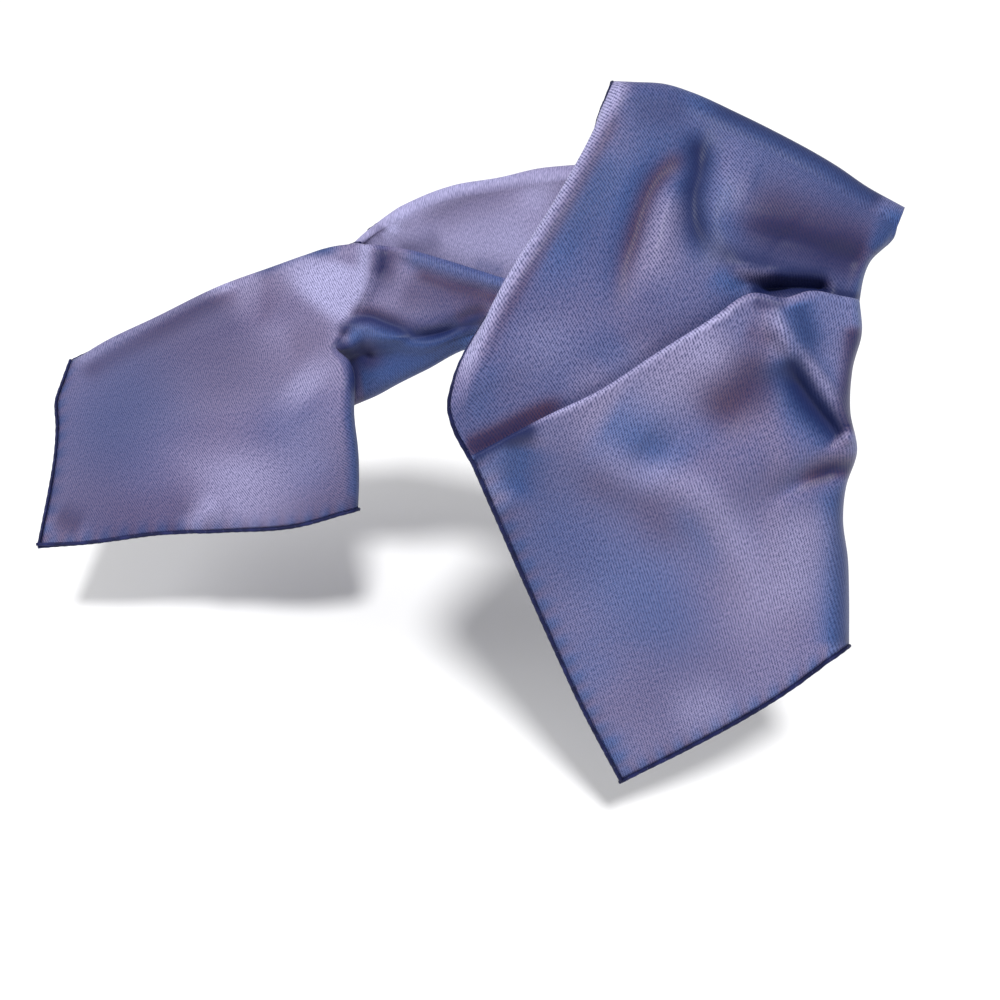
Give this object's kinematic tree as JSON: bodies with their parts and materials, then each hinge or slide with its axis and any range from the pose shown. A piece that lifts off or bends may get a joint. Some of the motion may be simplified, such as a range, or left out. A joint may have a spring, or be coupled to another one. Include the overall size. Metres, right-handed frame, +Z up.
{
  "type": "silk scarf",
  "caption": "Square silk scarf folded into a long flat band and held up at one point, with its front end falling forward, its tail trailing back and rolled edges all round.",
  "frame": {"origin": "the hold point on the upper front of the scarf, where the cloth is held up", "axes": "+X to the right along the band from its tail to its front end, +Y away from the front end towards the tail, +Z up"},
  "size_m": [0.5211, 0.2893, 0.3562],
  "materials": {
    "silk_twill": "shot silk twill, blue and mauve, with a soft sheen",
    "rolled_hem": "rolled and slip-stitched silk edge, dark navy"
  },
  "bodies": {
    "root": {"front_fall": "silk_twill", "upper_front": "silk_twill", "back_run": "silk_twill", "tail_upper_layer": "silk_twill", "tail_near_layer": "silk_twill", "left_end": "silk_twill", "hem_front_side_outer": "rolled_hem", "hem_front_side_inner": "rolled_hem", "hem_front_end_outer": "rolled_hem", "hem_front_end_inner": "rolled_hem", "hem_upper_side": "rolled_hem", "hem_back_side": "rolled_hem", "hem_tail_side": "rolled_hem", "hem_left_top": "rolled_hem", "hem_left_side_outer": "rolled_hem", "hem_left_side_inner": "rolled_hem", "hem_left_end_outer": "rolled_hem", "hem_left_end_inner": "rolled_hem"}
  },
  "joints": []
}
